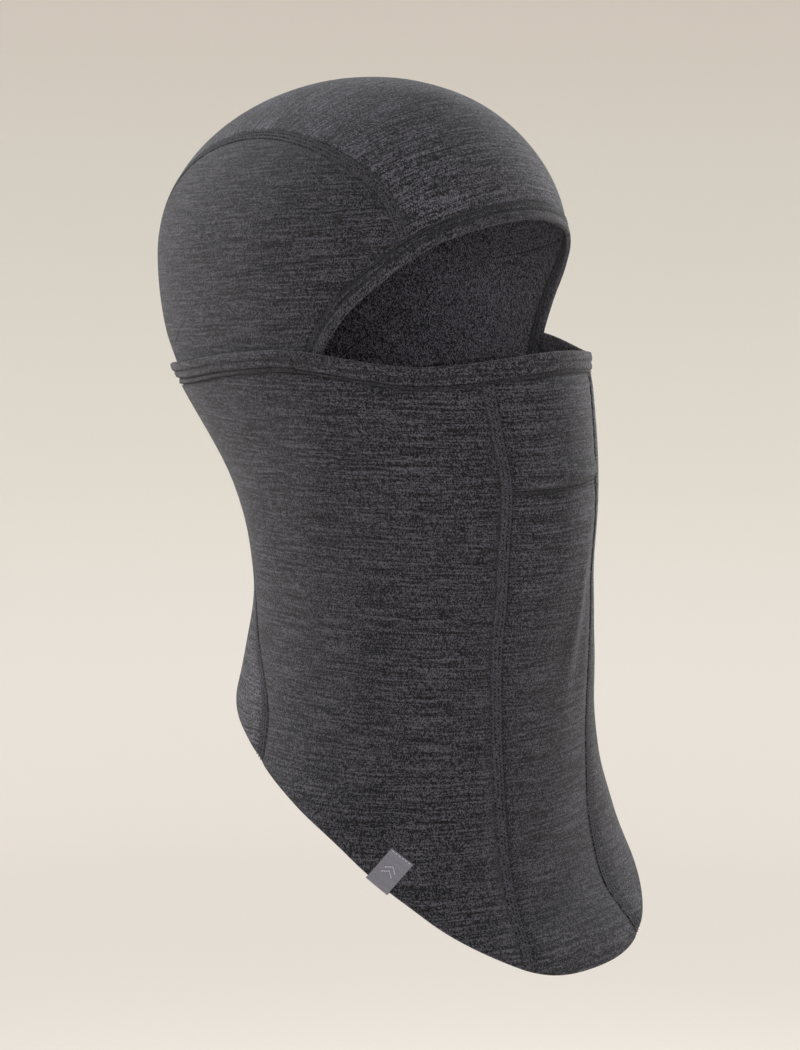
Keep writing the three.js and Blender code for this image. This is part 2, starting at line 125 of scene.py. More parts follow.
# Levels by angle from the front, or angles by level. The row past 180 keeps an edge level there.
HEM_TOP = [(0, 37.5), (34, 41.5), (68, 36), (95, 39), (125, 45), (180, 50), (235, 45)]
FRONT_SEAM = [(46, 18.5), (72, 18.9), (90, 19), (110, 20.7), (135, 21.8), (160, 23), (190, 22.1)]
FRONT_SEAM += [(214, 20.8), (240, 19.6), (262, 19.8), (280, 20.5), (300, 21.9)]
BACK_SEAM = [(50, 140), (110, 136), (150, 126), (188, 108), (215, 103)]
BOTTOM = [(0, 296), (14, 294), (26, 287), (38, 276), (50, 259.5), (64, 241), (80, 228), (98, 216.5)]
BOTTOM += [(120, 202.5), (180, 172), (240, 202.5)]

# Left half of the brow edge and the left-hand seam of the crown strip.
BROW = [
    (0, -95, 25),
    (26, -90, 21.5),
    (43, -82, 15.5),
    (54, -73, 7.5),
    (62, -62, -3),
    (68.5, -51, -14.5),
    (73, -41, -30),
    (74, -36, -42),
    (73.5, -34, -49),
]
BROW_SEAM_POINT = (52, -75, 9.5)
CROWN_SEAM = [
    BROW_SEAM_POINT,
    (53.5, -66, 27),
    (56, -50, 39),
    (57.5, -22, 49),
    (57, 3, 52),
    (55.5, 35, 46.5),
    (52, 61, 32),
    (47.5, 77, 0),
    (43.5, 75, -32),
    (40.8, 67.5, -62),
]

# Middle of the left side panel, and the lowest that the hood's inner face sinks.
SIDE_MIDDLE = np.array([70, 8, -8.0])
HOOD_SINK = -0.2

# Share of the crown seam's length left free of stitches beside the binding.
CROWN_SEAM_START = 0.0015

LABEL_ANGLE = -54
LABEL_WIDTH = 11.0
LABEL_LENGTH = 15.0
LABEL_THICKNESS = 0.5
LABEL_GAP = 0.15
LABEL_LIFT = 0.5
LABEL_FOLD = -0.35

# ---- folds ----
# A seam is stiffer than the cloth beside it, so it takes only this share of the folds.
SEAM_DRAPE = 0.55

# Soft folds of the gaiter: angle and height of the middle, length along it, width, depth, and
# how many degrees it drifts round over its length.
FOLDS = [
    (7, -150, 46, 5.0, 1.3, 5),
    (13, -158, 40, 6.0, -0.9, 4),
    (-30, -262, 60, 16.0, 1.2, 10),
    (34, -250, 70, 15.0, 1.4, -12),
    (-112, -120, 70, 16.0, 1.0, 18),
    (118, -125, 70, 15.0, 1.1, -16),
    (-74, -84, 40, 12.0, 0.8, 14),
    (150, -120, 60, 12.0, 1.0, 8),
    (-155, -115, 60, 12.0, 0.9, -8),
    (0, -255, 70, 18.0, 1.1, 0),
]

# ---- knit ----
WALE = 0.8
COURSE = 0.5
# How far painted shade in stitched grooves and beside seams darkens the knit's colour.
PAINTED_SHADE_DEPTH = 0.85
KNIT_RADIUS = 80.0
HOOD_KNIT_RADIUS = 88.0
HOOD_KNIT_SLOPE = 0.07

# ---- mesh fineness ----
PANEL_CELL = 2.2
CROWN_GRID = (110, 300)
CROWN_OUTLINE = (60, 150)
SIDE_OUTLINE = (52, 140, 70)
SIDE_REACH = 64
SEAM_CELL = 0.6
HEM_CELL = 0.5
STRIP_CELL = 1.6
MM_PER_DEGREE = 1.35
EDGE_STEPS = (0.0, 0.12, 0.3, 0.55, 1.0, 1.8)
EDGE_ROUND = 0.55
ROLL_DEPTH = 0.7
ROLL_RADIUS = 1.1
LEVELS = np.arange(-330, -20, 1.0)
STITCH_PITCH = 2.9
STITCH_RINGS = 7
STITCH_SIDES = 8
LOOPER_SIDES = 6

# ---- camera, light and backdrop: degrees, metres and watts ----
CAMERA_AZIMUTH = -47.0
CAMERA_ELEVATION = 9.0
CAMERA_DISTANCE = 1.0944
CAMERA_LENS = 85
AIM = np.array([0.0, -0.0234, -0.1185])
WORLD_STRENGTH = 0.40
BOX_SIZE = 1.0

# Soft boxes: name, azimuth, elevation, distance, power and the beam's spread.
SOFT_BOXES = [
    ("front", -48, 8, 1.9, 15, 180),
    ("left", -172, 22, 1.7, 10, 80),
    ("right", 95, 15, 1.7, 10.5, 80),
    ("top", -60, 80, 1.7, 6, 180),
]
FLOOR_DROP = 0.5
FLOOR_RADII = (0.4, 1.0)
SWEEP_START = 1.7
SWEEP_RADIUS = 1.5
SWEEP_RINGS = 24
SWEEP_SIDES = 96
BACKDROP_PAINT = (0.62, 0.575, 0.52, 1)
BACKDROP_MOTTLE = (0.9, 0.86, 0.8, 1)

# Painted light: the backdrop glows, by height in metres from the floor up, brightest just above the
# floor and darker towards the top, for light falling on it.
BACKDROP_GLOW = [
    (-0.80, (0.41, 0.388, 0.357)),
    (-0.79, (0.445, 0.42, 0.39)),
    (-0.765, (0.455, 0.43, 0.40)),
    (-0.70, (0.46, 0.437, 0.407)),
    (-0.60, (0.43, 0.41, 0.38)),
    (-0.47, (0.381, 0.372, 0.332)),
    (-0.13, (0.291, 0.288, 0.257)),
    (0.26, (0.223, 0.199, 0.179)),
]


# ---- small helpers ----


def smooth(x):
    x = np.clip(x, 0, 1)
    return x * x * (3 - 2 * x)


def bump(distance, width):
    """1 at no distance, fading to nothing over about two widths."""
    return np.exp(-((distance / width) ** 2))


def unit(vectors):
    return vectors / np.linalg.norm(vectors, axis=-1, keepdims=True)


def points_at(at, known, points):
    """Points interpolated along a line whose points are at the known positions."""
    return np.stack([np.interp(at, known, points[:, k]) for k in range(3)], -1)


# ---- the worn shape ----


def through(table, x):
    """Smooth curve through (x, y) rows, level at its first row."""
    xs, ys = np.array(table, float).T
    slope = np.zeros(len(xs))
    slope[1:-1] = (ys[2:] - ys[:-2]) / (xs[2:] - xs[:-2])
    slope[-1] = (ys[-1] - ys[-2]) / (xs[-1] - xs[-2])
    at = np.clip(x, xs[0], xs[-1])
    k = np.clip(np.searchsorted(xs, at, side="right") - 1, 0, len(xs) - 2)
    h = xs[k + 1] - xs[k]
    u = (at - xs[k]) / h
    rise = smooth(u)
    bend = h * u * (1 - u) * ((1 - u) * slope[k] - u * slope[k + 1])
    return ys[k] * (1 - rise) + ys[k + 1] * rise + bend


def section_at(z):
    """Centre line, forward reach, rearward reach, half width and front power of a section."""
    level = np.maximum(-np.asarray(z, float), 0)
    front, middle, back, half, power = (through(BODY[:, (0, k)], level) for k in range(1, 6))
    return middle, middle - front, back - middle, half, power


def fullness(p):
    """1 on the worn shape, less inside it, more outside it."""
    middle, forward, rearward, half, power = section_at(p[..., 2])
    up = np.maximum(p[..., 2], 0) / DOME_HEIGHT
    y = p[..., 1] - middle - DOME_LEAN * up * up
    depth = np.where(y < 0, forward, rearward)
    power = np.where(y < 0, power, REAR_POWER)
    powers = np.abs(p[..., 0] / half) ** power + np.abs(y / depth) ** power
    return np.hypot(powers ** (1 / power), up)


def on_body(points):
    """Moves points out or in from the middle of the garment until they are on the worn shape."""
    p = np.array(points, float)
    for _ in range(5):
        core = np.stack([0 * p[..., 0], section_at(p[..., 2])[0], np.minimum(p[..., 2], 0)], -1)
        p = core + (p - core) / fullness(p)[..., None]
    return p


def normal_at(p):
    """Outward directions of the worn shape."""
    step = 0.05 * np.eye(3)
    return unit(np.stack([fullness(p + s) - fullness(p - s) for s in step], -1))


def around(angle, z):
    """Points of the worn shape at angles from the front (positive to +X) and heights."""
    angle, z = np.broadcast_arrays(np.asarray(angle, float), np.asarray(z, float))
    a = np.radians(angle)
    middle = section_at(z)[0]
    return on_body(np.stack([50 * np.sin(a), middle - 50 * np.cos(a), z], -1))


def angle_of(p):
    """Degrees from the front, positive to +X."""
    return np.degrees(np.arctan2(p[..., 0], section_at(p[..., 2])[0] - p[..., 1]))


def folded(angle):
    """The same angle between 0 and 180 on either side of the front."""
    return np.abs((np.asarray(angle, float) + 180) % 360 - 180)


def hem_top(angle):
    """Height of the gaiter's top edge."""
    return -through(HEM_TOP, folded(angle))


def hem_foot(angle):
    """Height of the hem's lower edge."""
    return hem_top(angle) - HEM_WIDTH


def bottom(angle):
    """Height of the gaiter's bottom edge."""
    return -through(BOTTOM, folded(angle))


# ---- smooth unevenness of the knit ----


def ripple(p, length, seed):
    """Smooth deterministic unevenness between -1 and 1, with features of about a length in mm."""
    rng = np.random.default_rng(seed)
    total = 0
    for _ in range(7):
        way = rng.normal(size=3)
        way *= 2 * math.pi / (length * np.linalg.norm(way) * rng.uniform(0.7, 1.4))
        total = total + np.sin(p @ way + rng.uniform(0, 2 * math.pi))
    return total / 4


def drape(p):
    """How far the gaiter's cloth stands off the worn shape at each point, in mm."""
    z = p[..., 2]
    low = smooth((-62 - z) / 60)
    total = low * (0.55 * ripple(p, 95, 3) + 0.3 * ripple(p, 42, 4))
    angle = angle_of(p)
    below_hem = np.maximum(hem_foot(angle) - z, 0)
    for middle, height, length, width, depth, drift in FOLDS:
        share = (z - height) / length
        off = (angle - middle - drift * share + 180) % 360 - 180
        total = total + depth * np.exp(-((off * 1.5 / width) ** 2) - (1.6 * share) ** 2)
    return total * (1 - np.exp(-below_hem / 7))


def drape_of(points):
    """How far a seam of the gaiter stands off the worn shape with the cloth beside it."""
    return SEAM_DRAPE * drape(points)


def hood_drape(p):
    """How far the hood's cloth stands off the worn shape: nothing near the gaiter's top edge."""
    calm = smooth((p[..., 2] + 34) / 30)
    return calm * (0.25 * ripple(p, 70, 11) + 0.12 * ripple(p, 30, 12))


# ---- meshes ----


def object_from(name, vertices, faces, materials, uv, slots=None, painted_shade=None):
    """A smooth-shaded mesh object from points in millimetres, with a knit map in millimetres.

    The shade attribute is 1 in the bottom of a stitched groove and 0 on open cloth: the knit's colour
    is darkened there as painted shade.
    """
    mesh = bpy.data.meshes.new(name)
    mesh.from_pydata((np.asarray(vertices) * MM).tolist(), [], [tuple(f) for f in faces])
    for material in materials:
        mesh.materials.append(material)
    mesh.polygons.foreach_set("use_smooth", [True] * len(mesh.polygons))
    if slots is not None:
        mesh.polygons.foreach_set("material_index", slots)
    layer = mesh.uv_layers.new(name="knit")
    corners = np.zeros(len(mesh.loops), int)
    mesh.loops.foreach_get("vertex_index", corners)
    layer.data.foreach_set("uv", np.asarray(uv, np.float32)[corners].ravel())
    if painted_shade is not None:
        depth = mesh.attributes.new("painted_shade", "FLOAT", "POINT")
        depth.data.foreach_set("value", np.clip(painted_shade, 0, 1).astype(np.float32))
    mesh.update()
    obj = bpy.data.objects.new(name, mesh)
    bpy.context.scene.collection.objects.link(obj)
    return obj


def layer_object(name, points, faces, rim, inner, outer, uv, materials, painted_shade):
    """Thickens a surface into one closed layer, between two heights off the worn shape."""
    normals = normal_at(points)
    count = len(points)
    vertices = np.vstack([points + normals * outer[:, None], points + normals * inner[:, None]])
    back = [[corner + count for corner in face[::-1]] for face in faces]
    after = np.roll(rim, -1)
    side = np.stack([after, rim, rim + count, after + count], -1).tolist()
    slots = [0] * len(faces) + [1] * len(back) + [0] * len(side)
    uv, painted_shade = np.vstack([uv, uv]), np.tile(painted_shade, 2)
    return object_from(name, vertices, faces + back + side, materials, uv, slots, painted_shade)


def grid_faces(rows, columns):
    """Quads of a grid of points, and its outline in order."""
    index = np.arange(rows * columns).reshape(rows, columns)
    faces = np.stack([index[:-1, :-1], index[:-1, 1:], index[1:, 1:], index[1:, :-1]], -1)
    rim = np.concatenate([index[0, :-1], index[:-1, -1], index[-1, :0:-1], index[:0:-1, 0]])
    return faces.reshape(-1, 4).tolist(), rim


def ring_faces(index):
    """Quads between neighbouring closed rings, each a row of vertex numbers."""
    after = np.roll(index, -1, 1)
    return np.stack([index[:-1], after[:-1], after[1:], index[1:]], -1).reshape(-1, 4)


def gaps(grid, axis):
    """Distance from the first row (axis 0) or column (axis 1) to every point along the grid."""
    steps = np.linalg.norm(np.diff(grid, axis=axis), axis=-1)
    start = np.zeros_like(np.take(steps, [0], axis=axis))
    return np.cumsum(np.concatenate([start, steps], axis=axis), axis=axis)


def spaced(length, cell):
    """Shares from 0 to 1, about a cell apart and closer at both ends."""
    near = np.array([e for e in EDGE_STEPS if e < length / 3])
    inner = np.linspace(near[-1], length - near[-1], max(2, math.ceil(length / cell)))
    return np.concatenate([near[:-1], inner, (length - near[:-1])[::-1]]) / length


def rounded(distance, radius=EDGE_ROUND):
    """Share of the full thickness at a distance from a cut or folded edge."""
    x = np.clip(distance / radius, 0, 1)
    return 0.25 + 0.75 * np.sqrt(1 - (1 - x) ** 2)


def rolled_in(distance):
    """How far the inner face of a folded edge is from lying flat."""
    return ROLL_DEPTH * (1 - rounded(distance, ROLL_RADIUS))


class Grid:
    """A grid of points of the worn shape, with the distances of each point from its four sides."""

    def __init__(self, points, uv=None):
        self.points = points
        along, up = gaps(points, 1), gaps(points, 0)
        self.left, self.right = along, along[:, -1:] - along
        self.low, self.high = up, up[-1:] - up
        middle = along[:, points.shape[1] // 2][:, None]
        self.uv = np.stack([along - middle, up], -1) if uv is None else uv

    def edge(self, sides=ALL_SIDES):
        """Distance of each point from the nearest of the sides named."""
        return np.min([getattr(self, side) for side in sides], axis=0)


def cloth(name, grid, inner, outer, materials, painted_shade=0, sides=ALL_SIDES):
    """A closed layer over a grid whose outer face rounds off at the sides named."""
    full = rounded(grid.edge(sides))
    inner, outer, painted_shade = np.broadcast_arrays(inner, inner + (outer - inner) * full, painted_shade)
    surface = grid.points.reshape(-1, 3), *grid_faces(*full.shape)
    uv = grid.uv.reshape(-1, 2)
    return layer_object(name, *surface, inner.ravel(), outer.ravel(), uv, materials, painted_shade.ravel())


# ---- pieces of the gaiter ----


def beside(line, side, distance):
    """Angle by height of a line a distance beside a seam, mirrored when side is -1."""
    angle = side * through(line, -LEVELS)
    ahead, behind = around(angle + 0.5, LEVELS), around(angle - 0.5, LEVELS)
    angles = angle + distance / np.linalg.norm(ahead - behind, axis=-1)
    return lambda z: np.interp(z, LEVELS, angles)


def wrap(from_, to, low, high, cell, across=None, upward=None):
    """A grid between two angles (functions of height) and two heights (functions of angle)."""

    def grid(u, v):
        u, v = np.meshgrid(u, v)
        z = np.full(u.shape, -120.0)
        for _ in range(14):
            angle = from_(z) + u * (to(z) - from_(z))
            z = low(angle) + v * (high(angle) - low(angle))
        return Grid(around(angle, z), np.stack([np.radians(angle) * KNIT_RADIUS, z], -1))

    rough = grid(np.linspace(0, 1, 9), np.linspace(0, 1, 9))
    u = spaced(rough.left.max(), cell) if across is None else across
    v = spaced(rough.low.max(), cell) if upward is None else upward
    return grid(u, v)


def seam_dip(distance, depth=0.45, reach=2.2):
    """How far cloth is drawn in beside a seam."""
    return depth * bump(distance, reach)


def seam_shade(distance, depth=0.4):
    """Painted shade beside a seam, where its stitches pull the cloth in: how far the cloth's colour is
    darkened.
    """
    return depth * bump(distance, 0.9) + 0.25 * depth * bump(distance, 3)


def pucker(grid, sides):
    """Small gathers where a panel is held by a seam."""
    total = 0
    for side in sides:
        along = grid.low if side in ("left", "right") else grid.left
        wave = np.sin(along * 2 * math.pi / 6.5) + 0.6 * np.sin(along * 2 * math.pi / 4.1 + 1)
        total = total + 0.09 * wave * np.exp(-getattr(grid, side) / 5)
    return total


def gaiter_panel(name, grid, materials, seams, swell=0.5, extra=0):
    """A panel of the gaiter: it swells between its seams and follows the soft folds."""
    inner, outer = GAITER_LAYER
    held = grid.edge(seams)
    rise = swell * (1 - np.exp(-held / 14)) + extra
    rise = rise + drape(grid.points) * (1 - (1 - SEAM_DRAPE) * np.exp(-held / 7))
    gathers = pucker(grid, seams) - sum(seam_dip(getattr(grid, side)) for side in seams)
    # Painted shade on the cloth beside the panel's seams.
    return cloth(name, grid, inner + rise, outer + rise + gathers, materials, seam_shade(held))


# ---- paths on the worn shape ----


def curve_through(points, count=1200):
    """A smooth curve on the worn shape through points, evenly spaced along its length."""
    p = on_body(np.array(points, float))
    before, after = 2 * p[0] - p[1], 2 * p[-1] - p[-2]
    p = np.vstack([before, p, after])
    fine = []
    for a, b, c, d in zip(p[:-3], p[1:-2], p[2:-1], p[3:]):
        knots = np.cumsum([0] + [math.dist(*pair) ** 0.5 for pair in ((a, b), (b, c), (c, d))])
        t = np.linspace(knots[1], knots[2], 60, endpoint=False)[:, None]

        def blend(p, q, first, last):
            low, high = knots[first], knots[last]
            return (p * (high - t) + q * (t - low)) / (high - low)

        ab, bc, cd = blend(a, b, 0, 1), blend(b, c, 1, 2), blend(c, d, 2, 3)
        fine.append(blend(blend(ab, bc, 0, 2), blend(bc, cd, 1, 3), 1, 2))
    fine = np.vstack([*fine, p[-2:-1]])
    return resample(on_body(fine), count)


def resample(points, count):
    """The same line with a number of evenly spaced points."""
    length = gaps(points[None], 1)[0]
    return points_at(np.linspace(0, length[-1], count), length, points)


def part_of(path, start, end, count):
    """Points of a path between two shares of its length."""
    at = np.linspace(start, end, count) * (len(path) - 1)
    return on_body(points_at(at, np.arange(len(path)), path))


def left_of(path):
    """Unit direction to the left of travel, in the surface, at each point of a path."""
    return unit(np.cross(normal_at(path), np.gradient(path, axis=0)))


def strip_grid(path, from_, to, cell):
    """A grid along a path between two distances to its left."""
    reach = from_ + spaced(to - from_, cell) * (to - from_)
    left = left_of(path)
    return Grid(on_body(path[None] + reach[:, None, None] * left[None]))


def share_below_hem(path, depth, dry, sunk):
    """Share of a path at which it drops a depth below the gaiter's top edge."""
    at = np.linspace(dry, sunk, 400)
    points = path[np.round(at * (len(path) - 1)).astype(int)]
    return at[np.argmax(points[:, 2] < hem_top(angle_of(points)) - depth)]


def turned(grid):
    """The same grid with its rows as columns."""
    return Grid(grid.points.transpose(1, 0, 2)[:, ::-1], grid.uv.transpose(1, 0, 2)[:, ::-1, ::-1])


brow_path = curve_through(BROW[:0:-1] + [BROW[0]] + [tuple(MIRROR * p) for p in BROW[1:]])
crown_path = {"left": curve_through(CROWN_SEAM)}
crown_path["right"] = crown_path["left"] * MIRROR
brow_seam = np.argmin(np.linalg.norm(brow_path - BROW_SEAM_POINT, axis=-1)) / (len(brow_path) - 1)
brow_tuck = share_below_hem(brow_path, TUCK_DEPTH, 0.5, 0)
crown_tuck = share_below_hem(crown_path["left"], TUCK_DEPTH, 0.6, 1)


def inset_sides(sides):
    """Moves the sides of an anticlockwise outline inwards: each side is (points, how far).

    A side ends where the next one begins; the shared point goes with the next one.
    """
    ends = np.cumsum([len(p) - 1 for p, _ in sides])
    points = np.vstack([p[:-1] for p, _ in sides])
    inset = np.repeat([float(d) for _, d in sides], np.diff(ends, prepend=0))
    normals = normal_at(points)

    first = unit(np.cross(normals, points - np.roll(points, 1, 0)))
    second = unit(np.cross(normals, np.roll(points, -1, 0) - points))
    turn = (first * second).sum(-1)
    spread = np.maximum(1 - turn**2, 0)
    before = np.roll(inset, 1)
    corner = spread > 0.05
    safe = np.where(corner, spread, 1)
    a = np.where(corner, (before - inset * turn) / safe, 0)
    b = np.where(corner, (inset - before * turn) / safe, inset)
    moved = on_body(points + a[:, None] * first + b[:, None] * second)
    return np.split(moved, ends[:-1])


def tucked_edge(from_, to, count):
    """The hood's lower edge between two angles, sewn inside the gaiter."""
    angle = np.linspace(from_, to, count)
    return around(angle, hem_top(angle) - TUCK_DEPTH)


# ---- node materials ----


class Nodes:
    """Builds a node material: every call adds a node and returns its output."""

    def __init__(self, name):
        self.material = bpy.data.materials.new(name)
        self.material.use_nodes = True
        self.tree = self.material.node_tree
        self.shader = self.tree.nodes["Principled BSDF"]

    def feed(self, socket, value):
        """Links an output to an input socket, or sets a constant on it."""
        if isinstance(value, bpy.types.NodeSocket):
            self.tree.links.new(value, socket)
        else:
            socket.default_value = value

    def add(self, kind, inputs=(), output=0, **settings):
        node = self.tree.nodes.new(kind)
        for key, value in settings.items():
            setattr(node, key, value)
        for key, value in inputs.items() if isinstance(inputs, dict) else enumerate(inputs):
            self.feed(node.inputs[key], value)
        return node.outputs[output]

    def math(self, operation, *values):
        return self.add("ShaderNodeMath", values, operation=operation)

    def total(self, *weighted):
        """The sum of (value, weight) pairs."""
        result = 0.0
        for value, weight in weighted:
            result = self.math("MULTIPLY_ADD", value, weight, result)
        return result

    def split(self, vector):
        node = self.tree.nodes.new("ShaderNodeSeparateXYZ")
        self.feed(node.inputs[0], vector)
        return node.outputs

    def knit_map(self):
        """Millimetres across and up the knit."""
        return self.split(self.add("ShaderNodeUVMap", uv_map="knit"))[:2]

    def noise(self, x, y, across, up, detail=2.0, shift=0.0):
        """Noise between 0 and 1 whose features are so many mm across and up the knit."""
        at = self.add(
            "ShaderNodeCombineXYZ",
            (self.math("DIVIDE", x, across), self.math("DIVIDE", y, up), shift),
        )
        return self.add("ShaderNodeTexNoise", {"Vector": at, "Scale": 1.0, "Detail": detail})

    def ramp(self, value, low, high):
        """0 below low, 1 above high, smooth between."""
        return self.add(
            "ShaderNodeMapRange",
            {"Value": value, "From Min": low, "From Max": high},
            interpolation_type="SMOOTHSTEP",
        )

    def mix(self, factor, a, b):
        node = self.tree.nodes.new("ShaderNodeMix")
        node.data_type = "RGBA"
        for key, value in ((0, factor), (6, a), (7, b)):
            self.feed(node.inputs[key], value)
        return node.outputs[2]

    def surface(self, color, roughness, height=None, distance=0.0, **constants):
        """The finished material: height in the bump's own units, distance in metres."""
        inputs = self.shader.inputs
        self.feed(inputs["Base Color"], color)
        self.feed(inputs["Roughness"], roughness)
        for key, value in constants.items():
            self.feed(inputs[key.replace("_", " ")], value)
        if height is not None:
            relief = self.add("ShaderNodeBump", {"Height": height, "Distance": distance})
            self.feed(inputs["Normal"], relief)
        return self.material


def grey(value, warm=0.0):
    """A bluish dark grey; warm moves it towards brown."""
    return (value * (1 + warm), value * 0.98, value * (1.21 - warm), 1)


def knit(name, brightness=1.0, streaks=1.0, seed=0.0, warm=0.0):
    """Heather jersey: columns of V stitches, mixed fibres, and streaks along the courses."""
    n = Nodes(name)
    x, y = n.knit_map()
    sway = n.noise(x, y, 9.0, 9.0, 1.0, seed + 5)
    x = n.math("MULTIPLY_ADD", sway, 0.5, x)
    y = n.math("MULTIPLY_ADD", n.noise(x, y, 16.0, 16.0, 1.0, seed + 7), 1.6, y)
    wale = n.math("DIVIDE", x, WALE)
    inside = n.math("ABSOLUTE", n.math("SUBTRACT", n.math("FRACT", wale), 0.5))
    lean = n.math("MULTIPLY_ADD", inside, 1.5, n.math("DIVIDE", y, COURSE))
    loop = n.math("ABSOLUTE", n.math("SINE", n.math("MULTIPLY", lean, math.pi)))
    leg = n.math("SINE", n.math("MULTIPLY", inside, 2 * math.pi))
    stitch = n.math("MULTIPLY", n.math("POWER", loop, 0.7), n.math("MULTIPLY_ADD", leg, 0.6, 0.4))
    half = n.math("FLOOR", n.math("MULTIPLY", wale, 2.0))
    cell = n.add("ShaderNodeCombineXYZ", (half, n.math("FLOOR", lean), seed))
    speck = n.add("ShaderNodeTexWhiteNoise", (cell,), noise_dimensions="3D")
    fibre = n.noise(x, y, 0.8, 0.3, 3.0, seed + 1)
    short = n.noise(x, y, 4.4, 0.38, 2.0, seed + 2)
    long = n.noise(x, y, 24.0, 1.0, 2.0, seed + 3)
    cloud = n.noise(x, y, 30.0, 20.0, 2.0, seed + 4)
    light = n.ramp(short, 0.58, 0.76)
    dark = n.ramp(short, 0.42, 0.26)
    tone = n.total(
        (speck, 1.00),
        (fibre, 1.30),
        (light, 1.00 * streaks),
        (dark, -0.60 * streaks),
        (n.ramp(long, 0.45, 0.75), 0.44 * streaks),
        (n.ramp(long, 0.5, 0.25), -0.34 * streaks),
        (cloud, 0.15),
        (stitch, 0.30),
    )
    share = n.ramp(tone, 1.18, 2.12)
    color = n.mix(share, grey(0.003 * brightness, warm), grey(0.100 * brightness, warm))
    # Painted shade: the colour is darkened towards near black where the mesh's shade attribute marks
    # grooves and seams.
    painted_shade = n.add("ShaderNodeAttribute", output=2, attribute_name="painted_shade")
    color = n.mix(n.math("MULTIPLY", painted_shade, PAINTED_SHADE_DEPTH), color, grey(0.002))
    height = n.total((stitch, 1.0), (fibre, 0.7), (light, 0.25))
    constants = {"Sheen_Weight": 0.10, "Sheen_Roughness": 0.45, "Specular_IOR_Level": 0.25}
    return n.surface(color, 0.92, height, 0.00018, **constants)


def thread(name, value, seed=0.0, twist=0.5):
    """Sewing thread: fine slanting twist along its length, slightly glossy."""
    n = Nodes(name)
    x, y = n.knit_map()
    turn = n.math("SINE", n.math("MULTIPLY", n.math("ADD", x, y), 2 * math.pi / twist))
    fleck = n.noise(x, y, 2.0, 0.3, 2.0, seed)
    tone = n.total((turn, 0.22), (fleck, 0.9))
    color = n.mix(n.ramp(tone, 0.0, 1.0), grey(value * 0.55), grey(value * 1.5))
    return n.surface(color, 0.6, tone, 0.00005, Sheen_Weight=0.1, Specular_IOR_Level=0.35)


def woven(name, value):
    """Label tape: a fine satin weave with pale flecks."""
    n = Nodes(name)
    x, y = n.knit_map()
    warp = n.math("SINE", n.math("MULTIPLY", x, 2 * math.pi / 0.32))
    weft = n.math("SINE", n.math("MULTIPLY", y, 2 * math.pi / 0.42))
    weave = n.math("MULTIPLY", warp, weft)
    fleck = n.noise(x, y, 0.35, 0.9, 2.0, 3.0)
    tone = n.total((weave, 0.12), (fleck, 0.8))
    color = n.mix(n.ramp(tone, 0.1, 0.8), grey(value * 0.72, 0.02), grey(value * 1.25, 0.02))
    return n.surface(color, 0.55, tone, 0.00006, Sheen_Weight=0.1, Specular_IOR_Level=0.4)


KNIT = knit("charcoal_jersey", 0.87)
# Painted light: a lighter copy of the same knit, used on the crown strip and the nape panel, for light
# falling on the top of the hood and the back of the gaiter.
PAINTED_LIGHT_KNIT = knit("charcoal_jersey_painted_light", 1.32, seed=20.0)
TAPE = knit("charcoal_jersey_folded", 1.0, streaks=0.6, seed=40.0)
REVERSE = {"streaks": 0.12, "seed": 60.0, "warm": 0.02}
# Painted light: the inside faces are the reverse of the same knit, made several times lighter for light
# reaching inside the garment; the hood's inside, seen through the eye opening, is lightest.
PAINTED_LIGHT_LINING = knit("charcoal_jersey_reverse_painted_light", 2.6, **REVERSE)
PAINTED_LIGHT_HOOD_LINING = knit("charcoal_jersey_reverse_painted_light_hood", 4.2, **REVERSE)
SEAM_KNIT = knit("charcoal_jersey_under_seam", 1.25, streaks=0.2, seed=80.0)
SEAM_THREAD = thread("seam_thread", 0.046)
DARK_THREAD = thread("stitch_thread", 0.014)
PALE_THREAD = thread("label_thread", 0.5)
LABEL_TAPE = woven("label_tape", 0.13)


# ---- threads ----


def stitches(name, path, height, material, pitch=STITCH_PITCH, gap=0.7, thick=0.42):
    """A row of short stitches lying along a path at a height off the worn shape."""
    length = gaps(path[None], 1)[0]
    count = max(1, int(length[-1] // pitch))
    starts = (np.arange(count) + 0.5) * length[-1] / count - (pitch - gap) / 2
    share = np.linspace(0, 1, STITCH_RINGS)
    at = starts[:, None] + share * (pitch - gap)
    core = points_at(at, length, path)
    normals = normal_at(core)
    level = np.interp(at, length, height if np.ndim(height) else np.full(len(path), height))
    arch = np.sin(share * math.pi)
    core = core + normals * (level + 0.5 * thick * (arch - 0.9))[..., None]
    swell = 0.5 * thick * (0.35 + 0.65 * np.sqrt(np.clip(1 - (2 * share - 1) ** 4, 0, 1)))
    return tubes(name, core, normals, np.broadcast_to(swell, at.shape), STITCH_SIDES, material)


def tubes(name, core, normals, radius, sides, material):
    """Closed round tubes along rows of core points."""
    count, rings = core.shape[:2]
    across = np.cross(normals, unit(np.gradient(core, axis=1)))[:, :, None]
    turn = np.arange(sides) * 2 * math.pi / sides
    circle = turn[None, None, :, None]
    offset = np.cos(circle) * across + np.sin(circle) * normals[:, :, None]
    points = core[:, :, None] + offset * radius[:, :, None, None]
    index = np.arange(count * rings * sides).reshape(count, rings, sides)
    nxt = np.roll(index, -1, 2)
    walls = np.stack([index[:, :-1], index[:, 1:], nxt[:, 1:], nxt[:, :-1]], -1).reshape(-1, 4)
    caps = index[:, 0].tolist() + index[:, -1, ::-1].tolist()
    uv = np.broadcast_arrays(gaps(core, 1)[:, :, None], turn[None, None] * radius.mean())
    uv = np.stack(uv, -1).reshape(-1, 2)
    return object_from(name, points.reshape(-1, 3), walls.tolist() + caps, [material], uv)


